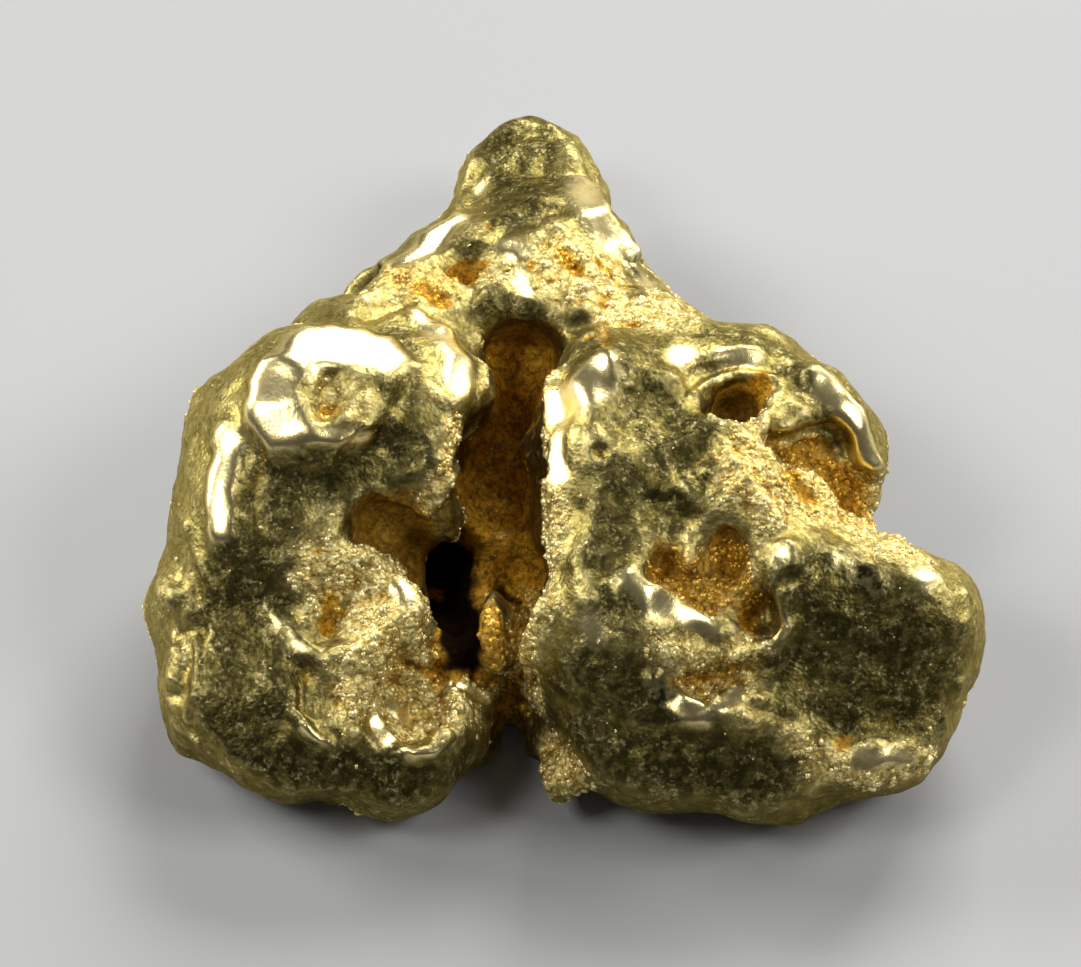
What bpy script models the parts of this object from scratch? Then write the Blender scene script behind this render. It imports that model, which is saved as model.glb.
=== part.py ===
"""A water-worn gold nugget, one natural piece of metal about 10 mm across.

It lies on its broad side. X runs across it, Y runs from its thick front to the horn at the back, and
Z is up. The origin is on the resting plane, under the middle of its box. Everything is worked in
millimetres, and the finished solid is turned into metres at the end.

The body is a cluster of rounded lobes that have grown together. A deep cleft splits its front half
into a left and a right lobe, and smaller hollows and pits open from the top, the front, the back and
below.
"""

from collections import namedtuple
from math import radians

import bmesh
import bpy
from mathutils import Euler, Matrix, Vector, noise

METRES_PER_MM = 0.001

# Driving dimensions, in millimetres.
WIDTH = 10.0  # across X, from the left flank to the right bulb
FUSE_GRID = 0.11  # grid on which the lobes run together
FINE_GRID = 0.085  # grid of the carved body
BLEND_ROUNDS = 16  # smoothing passes that make one skin of the lobes
CUTTER_ROUNDS = 1  # smoothing passes that join the hollows to each other
SOFTEN_ROUNDS = 6  # smoothing passes that wear the carved edges round
SMOOTH_SHARE = 0.5  # how far one pass moves a point towards the middle of its neighbours
SWELL_HEIGHT = 0.11  # how far the worn skin rises and falls
SWELL_SIZE = 1.15  # distance between its swells
RAGGED_HEIGHT = 0.16  # how far the walls of the hollows wander
RAGGED_SIZE = 0.45  # distance between their bends
FACE_COUNT = 9400  # triangles of the finished solid
NET_FINENESS = 4  # times that an icosahedron is divided to make a blob

LEAN = (35, 0, 0)  # degrees: most hollows open up and forward, this far from upright
BACKWARD = (-50, 0, 0)  # degrees: the hollows of the back open this way

# An ellipsoid: its centre and half-axes in millimetres, and its turn about X, Y and Z in degrees.
Blob = namedtuple("Blob", "centre radii turn", defaults=((0, 0, 0),))

LOBES = {
    "horn_tip": Blob((-0.45, 4.32, 1.30), (0.52, 0.55, 0.62)),
    "horn_left": Blob((-0.70, 3.60, 1.38), (0.72, 1.00, 0.80)),
    "horn_right": Blob((-0.16, 3.50, 1.40), (0.72, 1.00, 0.85)),
    "horn_middle": Blob((-0.20, 3.58, 1.42), (0.80, 0.66, 0.85)),
    "horn_neck": Blob((-0.72, 2.75, 1.45), (0.95, 1.00, 1.00)),
    "horn_root_left": Blob((-1.10, 2.05, 1.50), (1.10, 1.10, 1.25)),
    "horn_root_right": Blob((-0.17, 2.15, 1.50), (1.12, 1.30, 1.55)),
    "horn_root_side": Blob((0.25, 2.10, 1.50), (0.95, 0.60, 0.95)),
    "saddle": Blob((-0.25, 1.20, 1.55), (1.70, 1.20, 1.45)),
    "saddle_right": Blob((0.88, 0.78, 1.60), (1.10, 1.10, 1.35)),
    "right_root": Blob((0.75, 1.55, 1.55), (0.75, 0.60, 1.00)),
    "saddle_left": Blob((-2.19, 1.83, 1.60), (0.70, 0.50, 0.90)),
    "left_shoulder": Blob((-1.75, 1.20, 1.55), (1.30, 1.25, 1.40)),
    "left_back": Blob((-2.40, 0.38, 1.70), (1.35, 1.35, 1.50)),
    "left_dome": Blob((-2.95, -0.62, 2.10), (1.50, 1.45, 1.80), (0, 0, 30)),
    "left_inner": Blob((-1.90, -0.50, 2.00), (1.15, 1.45, 1.55)),
    "left_corner": Blob((-3.76, -0.42, 1.90), (0.95, 0.98, 1.25)),
    "left_flank": Blob((-3.45, -1.50, 1.55), (1.42, 1.60, 1.65)),
    "left_bulge": Blob((-4.08, -2.20, 1.20), (0.95, 1.10, 1.15)),
    "left_heel": Blob((-3.90, -3.20, 1.05), (1.05, 1.05, 1.10)),
    "left_foot": Blob((-3.20, -3.55, 1.05), (1.25, 1.25, 1.20)),
    "left_toe": Blob((-2.05, -3.85, 0.95), (1.05, 1.05, 1.05)),
    "left_front": Blob((-2.40, -2.60, 1.35), (1.20, 1.40, 1.35)),
    "cleft_floor": Blob((-0.75, -0.30, 0.70), (1.30, 2.60, 0.80)),
    "cleft_sill": Blob((-0.85, -2.80, 0.55), (1.00, 1.35, 0.60)),
    "right_column": Blob((0.52, -0.90, 2.00), (1.15, 1.80, 1.75)),
    "right_column_foot": Blob((0.62, -2.70, 1.60), (1.20, 1.70, 1.70)),
    "right_shoulder": Blob((1.42, -0.02, 1.90), (1.25, 1.10, 1.50)),
    "right_crest": Blob((2.15, -0.05, 2.05), (1.00, 1.05, 1.15)),
    "right_upper": Blob((2.70, -0.58, 2.00), (1.12, 1.05, 1.30)),
    "right_middle": Blob((1.80, -1.60, 1.90), (1.40, 1.50, 1.80)),
    "right_waist": Blob((2.40, -1.80, 1.50), (1.25, 1.30, 1.50)),
    "right_front": Blob((1.15, -3.70, 1.15), (1.30, 1.25, 1.30)),
    "right_low": Blob((2.30, -3.80, 1.10), (1.30, 1.25, 1.25)),
    "right_ridge": Blob((2.50, -2.80, 1.80), (1.30, 1.10, 1.45)),
    "right_bulb": Blob((3.78, -2.86, 1.58), (1.25, 1.14, 1.32)),
    "right_heel": Blob((3.45, -3.65, 1.15), (1.20, 1.15, 1.20)),
}

CLEFT = {
    "cleft_head": Blob((-0.55, 0.34, 2.90), (0.52, 0.44, 1.10), LEAN),
    "cleft_waist": Blob((-0.60, -0.28, 2.75), (0.33, 0.72, 1.35), LEAN),
    "cleft_belly": Blob((-0.83, -1.27, 2.62), (0.60, 0.95, 1.50), LEAN),
    "cleft_hole": Blob((-1.33, -2.40, 2.00), (0.32, 0.68, 1.75), (35, 12, 0)),
    "cleft_throat": Blob((-0.62, -2.48, 2.20), (0.42, 0.88, 1.40), LEAN),
    "cleft_front": Blob((-0.68, -4.10, 1.40), (0.26, 0.90, 1.60), LEAN),
    "cleft_notch": Blob((-0.90, -4.95, 0.60), (0.42, 0.90, 1.00)),
}

HOLLOWS = {
    "side_passage": Blob((-2.10, -2.10, 2.72), (0.62, 0.44, 0.50), (35, 0, 10)),
    "passage_mouth": Blob((-1.70, -2.35, 2.30), (0.40, 0.44, 0.85), (35, 0, 10)),
    "dome_pit": Blob((-2.87, -1.05, 3.70), (0.22, 0.18, 0.35), LEAN),
    "dome_dent": Blob((-2.85, -0.75, 4.05), (0.50, 0.42, 0.35), (10, 0, 10)),
    "left_hollow": Blob((-2.65, -3.05, 2.75), (0.85, 0.62, 0.50), (35, 0, 20)),
    "slot": Blob((-2.88, -3.25, 2.40), (0.15, 0.32, 0.45), (35, 0, -8)),
    "left_furrow": Blob((-3.20, -3.90, 2.20), (0.16, 0.50, 0.32), (35, 0, -6)),
    "cup": Blob((-1.88, -4.08, 2.00), (0.56, 0.62, 0.82), (35, 0, -20)),
    "cup_left": Blob((-2.88, -4.20, 2.15), (0.30, 0.45, 0.40), (35, 0, -20)),
    "cup_corner": Blob((-1.45, -3.75, 2.10), (0.40, 0.45, 0.60), LEAN),
    "upper_pit": Blob((1.98, -0.75, 3.20), (0.40, 0.28, 0.65), (35, 0, 10)),
    "upper_pit_lip": Blob((2.26, -0.70, 3.25), (0.22, 0.22, 0.40), LEAN),
    "saddle_hollow": Blob((-1.25, 1.57, 2.80), (0.28, 0.22, 0.28), (10, 0, 0)),
    "right_hollow": Blob((3.14, -1.24, 2.95), (0.60, 0.40, 0.50), (35, 0, -15)),
    "right_hollow_left": Blob((2.64, -1.32, 3.08), (0.42, 0.26, 0.36), (35, 0, -15)),
    "right_hollow_mouth": Blob((3.60, -1.45, 2.40), (0.55, 0.36, 0.70), LEAN),
    "waist_notch": Blob((4.58, -1.58, 1.80), (0.85, 0.40, 1.20), LEAN),
    "middle_hollow": Blob((1.78, -3.22, 3.25), (0.72, 0.60, 0.55), (35, 0, 0)),
    "middle_pit_left": Blob((1.28, -2.98, 2.98), (0.40, 0.24, 0.46), (35, 0, -30)),
    "middle_pit_right": Blob((1.88, -2.74, 3.02), (0.28, 0.36, 0.42), (35, 0, 10)),
    "middle_pit_low": Blob((1.72, -3.28, 2.85), (0.36, 0.24, 0.40), (35, 0, -30)),
    "lower_pit": Blob((2.26, -3.40, 2.72), (0.23, 0.34, 0.50), (35, 0, -15)),
    "lower_pit_foot": Blob((2.22, -3.58, 2.58), (0.24, 0.15, 0.30), LEAN),
    "valley": Blob((1.68, -4.14, 2.32), (0.66, 0.27, 0.46), (35, 0, 8)),
    "bulb_valley": Blob((3.82, -4.38, 2.04), (0.66, 0.28, 0.42), (35, 0, 6)),
    "bulb_valley_left": Blob((3.00, -4.00, 2.42), (0.60, 0.26, 0.32), (35, 0, -6)),
    "bank_pocket": Blob((3.30, -4.60, 1.80), (0.22, 0.17, 0.26), LEAN),
    "back_left": Blob((-2.75, 1.60, 2.10), (0.90, 0.50, 0.55), BACKWARD),
    "back_right": Blob((1.90, 1.10, 1.50), (0.65, 0.45, 0.50), BACKWARD),
    "back_right_low": Blob((2.40, 0.80, 1.20), (0.45, 0.35, 0.45), BACKWARD),
    "back_pit": Blob((0.85, 2.00, 1.70), (0.32, 0.24, 0.50), BACKWARD),
    "under_left": Blob((-1.60, -0.90, -0.20), (0.80, 1.10, 0.50)),
    "under_right": Blob((1.50, -0.60, 0.00), (1.00, 0.90, 0.55)),
    "under_pit": Blob((2.30, -1.90, 0.00), (0.35, 0.45, 0.60)),
}

KNOBS = {
    "pillar": Blob((-0.90, -2.80, 1.45), (0.24, 0.62, 0.85), LEAN),
    "bridge": Blob((-0.95, -3.05, 1.40), (0.36, 0.15, 0.22), LEAN),
    "bank": Blob((3.60, -4.66, 1.42), (0.52, 0.26, 0.22), (8, 0, 4)),
    "middle_boss": Blob((1.50, -2.80, 2.86), (0.20, 0.15, 0.24), LEAN),
    "front_tip": Blob((-0.10, -4.25, 0.60), (0.26, 0.34, 0.50), LEAN),
}


def ellipsoid(name, blob):
    """One blob as a mesh object, its surface an even net of triangles."""
    turn = Euler([radians(a) for a in blob.turn]).to_matrix().to_4x4()
    place = Matrix.Translation(blob.centre) @ turn @ Matrix.Diagonal((*blob.radii, 1))
    net = bmesh.new()
    bmesh.ops.create_icosphere(net, subdivisions=NET_FINENESS, radius=1, matrix=place)
    mesh = bpy.data.meshes.new(name)
    net.to_mesh(mesh)
    net.free()
    found = bpy.data.objects.new(name, mesh)
    bpy.context.scene.collection.objects.link(found)
    return found


def settled(obj):
    """The object with its modifiers made permanent."""
    bpy.context.view_layer.update()
    graph = bpy.context.evaluated_depsgraph_get()
    mesh = bpy.data.meshes.new_from_object(obj.evaluated_get(graph))
    obj.modifiers.clear()
    obj.data = mesh
    return obj


def joined(name, objects):
    """The objects as one, their shells still lying in each other."""
    net = bmesh.new()
    for obj in objects:
        net.from_mesh(obj.data)
        bpy.data.objects.remove(obj)
    mesh = bpy.data.meshes.new(name)
    net.to_mesh(mesh)
    net.free()
    found = bpy.data.objects.new(name, mesh)
    bpy.context.scene.collection.objects.link(found)
    return found


def blobs(name, table):
    """All blobs of a table as one object."""
    return joined(name, [ellipsoid(key, blob) for key, blob in table.items()])


def fused(obj, grid, rounds):
    """The object as one skin on an even grid, then smoothed."""
    remesh = obj.modifiers.new("fuse", "REMESH")
    remesh.mode = "VOXEL"
    remesh.voxel_size = grid
    smooth = obj.modifiers.new("smooth", "SMOOTH")
    smooth.factor = SMOOTH_SHARE
    smooth.iterations = rounds
    return settled(obj)


def carved(obj, cutter):
    """The object without what lies inside the cutter, which may pass through itself."""
    cut = obj.modifiers.new("carve", "BOOLEAN")
    cut.operation = "DIFFERENCE"
    cut.solver = "EXACT"
    cut.use_self = True
    cut.object = cutter
    settled(obj)
    bpy.data.objects.remove(cutter)
    return obj


def swelled(obj, height, size):
    """The object with its skin rising and falling by about that height, at that distance."""
    mesh = obj.data
    steps = [v.normal * height * noise.noise(v.co / size) for v in mesh.vertices]
    for vertex, step in zip(mesh.vertices, steps, strict=True):
        vertex.co += step
    return obj


def thinned(obj, faces):
    """The object with about that many triangles, most of them where it curves most."""
    thin = obj.modifiers.new("thin", "DECIMATE")
    thin.ratio = faces / (2 * len(obj.data.polygons))
    thin.use_collapse_triangulate = True
    return settled(obj)


def rested(obj):
    """Wears away what lies below the resting plane, brings the piece to its width and centres it there."""
    net = bmesh.new()
    net.from_mesh(obj.data)
    cut = bmesh.ops.bisect_plane(
        net,
        geom=net.verts[:] + net.edges[:] + net.faces[:],
        plane_co=(0, 0, 0),
        plane_no=(0, 0, 1),
        clear_inner=True,
    )
    rim = [e for e in cut["geom_cut"] if isinstance(e, bmesh.types.BMEdge)]
    bmesh.ops.triangle_fill(net, edges=rim, use_beauty=True, normal=(0, 0, -1))
    bmesh.ops.triangulate(net, faces=net.faces[:])
    bmesh.ops.recalc_face_normals(net, faces=net.faces[:])
    xs, ys, zs = zip(*(v.co for v in net.verts), strict=True)
    middle = Vector(((min(xs) + max(xs)) / 2, (min(ys) + max(ys)) / 2, min(zs)))
    bmesh.ops.translate(net, verts=net.verts[:], vec=-middle)
    bmesh.ops.scale(net, verts=net.verts[:], vec=Vector((1, 1, 1)) * WIDTH / (max(xs) - min(xs)))
    net.to_mesh(obj.data)
    net.free()
    return obj


def gold():
    metal = bpy.data.materials.new("native_gold")
    metal.use_nodes = True
    shader = metal.node_tree.nodes["Principled BSDF"]
    shader.inputs["Base Color"].default_value = (0.83, 0.62, 0.24, 1)
    shader.inputs["Metallic"].default_value = 1
    shader.inputs["Roughness"].default_value = 0.35
    return metal


def main():
    for obj in list(bpy.data.objects):
        bpy.data.objects.remove(obj)
    body = fused(blobs("body", LOBES), FUSE_GRID, BLEND_ROUNDS)
    hollows = fused(blobs("hollows", CLEFT | HOLLOWS), FINE_GRID, CUTTER_ROUNDS)
    carved(body, swelled(hollows, RAGGED_HEIGHT, RAGGED_SIZE))
    nugget = joined("nugget", [body, blobs("knobs", KNOBS)])
    swelled(fused(nugget, FINE_GRID, SOFTEN_ROUNDS), SWELL_HEIGHT, SWELL_SIZE)
    rested(thinned(nugget, FACE_COUNT))
    nugget.data.transform(Matrix.Scale(METRES_PER_MM, 4))
    nugget.data.materials.clear()
    nugget.data.materials.append(gold())
    nugget.data.shade_smooth()


main()
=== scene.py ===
"""The looks of the gold nugget: its worn, pitted skin, the grains on it, its metal, and a plain studio."""

from collections import namedtuple
from functools import cached_property
from math import cos, radians, sin

import bmesh
import bpy
import numpy as np
from mathutils import Euler, Matrix, Vector, noise
from mathutils.bvhtree import BVHTree


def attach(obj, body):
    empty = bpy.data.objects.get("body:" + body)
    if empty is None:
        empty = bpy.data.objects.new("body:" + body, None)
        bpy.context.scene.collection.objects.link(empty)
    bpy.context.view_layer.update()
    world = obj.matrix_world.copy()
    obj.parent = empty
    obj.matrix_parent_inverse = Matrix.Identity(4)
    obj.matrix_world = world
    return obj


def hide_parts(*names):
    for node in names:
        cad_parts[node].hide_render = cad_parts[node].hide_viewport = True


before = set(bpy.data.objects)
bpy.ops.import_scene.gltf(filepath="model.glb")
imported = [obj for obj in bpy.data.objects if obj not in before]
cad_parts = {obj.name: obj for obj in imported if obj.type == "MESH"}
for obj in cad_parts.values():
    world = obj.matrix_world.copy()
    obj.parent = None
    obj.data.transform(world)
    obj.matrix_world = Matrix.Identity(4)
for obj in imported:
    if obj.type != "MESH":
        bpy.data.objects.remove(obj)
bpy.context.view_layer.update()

# Lengths are in millimetres until the pieces are finished, and colours are in linear light.
METRES_PER_MM = 0.001
NOT_ZERO = 1e-12  # the least that a divisor is taken to be

# The picture's frame and its line of sight.
FRAME_WIDTH, FRAME_HEIGHT = 1081, 967  # pixels
NUGGET_WIDTH, NUGGET_PIXELS = 10.0, 825
MM_PER_PIXEL = NUGGET_WIDTH / NUGGET_PIXELS
LOOK_DOWN = radians(55)
CAMERA_DISTANCE = 150.0
SENSOR_WIDTH = 36.0
NEAR_CLIP = 0.001  # metres
AIM = Vector((-0.303, 0.330, 0.231))  # the point at the middle of the frame
RIGHT = Vector((1, 0, 0))
UP = Vector((0, sin(LOOK_DOWN), cos(LOOK_DOWN)))
FORWARD = Vector((0, cos(LOOK_DOWN), -sin(LOOK_DOWN)))
CAMERA_PLACE = AIM - FORWARD * CAMERA_DISTANCE

# The skin's meshes, and how many times each thing is smoothed.
BLANK_GRID = 0.050  # grid of the skin while it is marked
SKIN_GRID = 0.036  # grid of the skin before it is thinned
SKIN_FACES = 197_000  # triangles of the finished skin
WORN_ROUNDS = 8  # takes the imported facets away
LAYER_ROUNDS = 3  # blends the layers
POLISH_ROUNDS = 10  # polishes the faces that shine
BROAD_ROUNDS = 60  # smooths the hollows away
RECESS_ROUNDS = {4: 14, 25: 3}  # with how much the depth below that smoothed skin counts in the colouring

# Where a mark reaches. A reach of 1 is one width away from its path.
RAGGED, RAGGED_SIZE = 0.35, 0.22  # how much noise moves the edge, and how far apart its bumps are
END_OF_REACH = 1.7
LOOK_EDGE = (0.6, 1.4)  # where its grain, its stain and its other looks fade out
FLAT_EDGE = (0.5, 1.6)  # where its flat face fades out
PIT_WALL = (0.45, 1.0)
PIT_RIM_REACH, PIT_RIM_WIDTH, PIT_RIM_HEIGHT = 1.15, 0.18, 0.18  # the height is a share of the depth

# The worn faces.
FLATTENED = {"shine": 0.92, "shade": 0.60}  # how nearly flat they are
MOST_TILT = radians(55)  # how far such a face is turned
MOST_FLATTENING = 0.7  # how much of the mark's width is added to its depth
SAND_WORN_OFF = 0.9
RELIEF_WORN_OFF = 0.85

# How the whole skin is warped, where it is sandy or rough by itself, and where it is painted dark as painted
# shade: on faces that look down, and where it is dull.
SLOW_WARP, SLOW_WARP_SIZE, SLOW_WARP_SHIFTS = 0.055, 0.55, (1.7, 5.9, 9.3)
QUICK_WARP, QUICK_WARP_SIZE, QUICK_WARP_SHIFTS = 0.035, 0.22, (2.3, 6.1, 8.7)
SANDY_DEPTH, DEPTH_SAND = (0.02, 0.08), 0.35
LEAST_ROUGH, STAIN_ROUGH, DULL_ROUGH = 0.15, 0.7, 0.5
LOW_FACING, LOW_SHADE, DULL_SHADE = (0.30, -0.35), 0.8, 0.9

# The back, which the camera doesn't see: the sizes and strengths of its patches, dents and pits.
BACK_FACING = (0.20, -0.15)
BACK_PATCH, BACK_SAND_FROM, BACK_STAIN_FROM, BACK_STAIN = 1.1, (0.05, 0.40), (0.25, 0.45), 0.5
BACK_DULL_PATCH, BACK_DULL_FROM, BACK_DULL = 1.6, (0.10, 0.35), 0.8
BACK_DENT, BACK_DENT_DEPTH = 1.7, 0.16
BACK_PIT, BACK_PIT_DEPTH, BACK_PIT_FROM = 0.8, 0.10, (-0.1, 0.3)

# The grains. Their radius is drawn between two sizes, and most are nearer to the small one.
GRAIN_COUNT = 9500
GRAIN_RADIUS = (0.020, 0.075)
MOSTLY_SMALL = 1.5
GRAIN_SEED = 7
FULL_TURN = 6.28
GRAIN_STRETCH, GRAIN_LUMPS = (0.55, 1.25), (0.70, 1.25)  # along each axis, and at each corner
GRAIN_SUNK = 0.40  # of its radius
SIZE_OFF_SAND, SIZE_FROM_SAND = 0.55, 0.45
GRAIN_PATCH, GRAIN_CLUMP, GRAIN_CLUMP_FROM = 0.45, 0.16, (-0.25, 0.35)
BETWEEN_CLUMPS = 0.1
GRAIN_SAND, PATCH_SAND = (0.25, 0.9), 0.35
GRAINS_EVERYWHERE = 0.004
GRAINS_AT_OUTLINE, OUTLINE_FACING = 0.25, (0.0, 0.3)
STAIN_WITH_FEW, FEWER = (0.8, 1.1), 0.8
STAIN_WITH_NONE = (1.15, 1.35)

# The colours of the gold.
OLIVE, LIGHT_OLIVE = (0.24, 0.193, 0.050, 1), (0.42, 0.34, 0.10, 1)
RUBBED = (0.90, 0.75, 0.36, 1)
DARK_SPOT = (0.12, 0.095, 0.028, 1)
FLECK = (0.80, 0.68, 0.33, 1)
POLISH_AND_HIGHLIGHT = (1.0, 0.83, 0.40, 1)
SAND, BRIGHT_SAND = (0.60, 0.43, 0.10, 1), (1.0, 0.90, 0.44, 1)
SAND_GAP, SUNKEN_SAND = (0.22, 0.14, 0.020, 1), (0.20, 0.115, 0.014, 1)
RUST, BRIGHT_RUST = (0.66, 0.32, 0.015, 1), (1.0, 0.66, 0.08, 1)
RUST_GAP = (0.20, 0.09, 0.004, 1)
# the painted shade that darkens the faces in the shade layer
SHADED = (0.062, 0.050, 0.014, 1)
UMBER, DARK_UMBER, SHADED_UMBER = (0.66, 0.31, 0.009, 1), (0.10, 0.04, 0.001, 1), (0.12, 0.06, 0.004, 1)
BLACK = (0.010, 0.005, 0.002, 1)
GLINT = (1.0, 0.86, 0.55, 1)
GRAIN, BRIGHT_GRAIN = (0.55, 0.40, 0.12, 1), (1.0, 0.88, 0.44, 1)
RUST_GRAIN, BRIGHT_RUST_GRAIN = (0.50, 0.26, 0.012, 1), (0.95, 0.62, 0.07, 1)
BUMP_HEIGHT = 0.04

# The studio. A soft box stands this far out. Azimuth 0 is behind the camera, and 90 is to its right, in
# degrees.
BOX_DISTANCE = 300.0
Box = namedtuple("Box", "azimuth elevation width height watts")
BOXES = {
    "back_box": Box(162, 34, 160, 160, 0.95),
    "left_box": Box(-116, 26, 130, 130, 0.70),
    "right_box": Box(122, 14, 100, 100, 0.40),
    "left_lamp": Box(-70, 56, 90, 90, 0.24),
    "right_lamp": Box(82, 46, 120, 120, 0.36),
}
FLOOR, LIGHT_FLOOR = (0.38, 0.38, 0.375, 1), (0.41, 0.41, 0.405, 1)
FLOOR_CLOUD, FLOOR_ROUGHNESS = 30.0, 0.6
FLOOR_REACH = 1  # metres from the nugget to each edge
SURROUNDINGS = (0.08, 0.08, 0.08, 1)

# A mark on the skin. Its path is a list of pixels of the frame, and its width and depth are in millimetres.
# Grain and stain say how sandy and how brown the gold is there, from 0 to 1, or painted black at 2, as
# painted shade.
# A ridge stands up, a hollow and a pit go down, and a field changes only the grain and the stain. A shine is
# a worn face that mirrors the nearest soft box, and is painted paler too, as painted highlight; a shade is
# one that mirrors the dark in front, and is painted darker too, as painted shade. A place that is dull is
# rougher, and painted darker as painted shade, but it isn't worn flat.
Mark = namedtuple("Mark", "kind path width depth grain stain", defaults=(0.0, 0.0))

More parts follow.
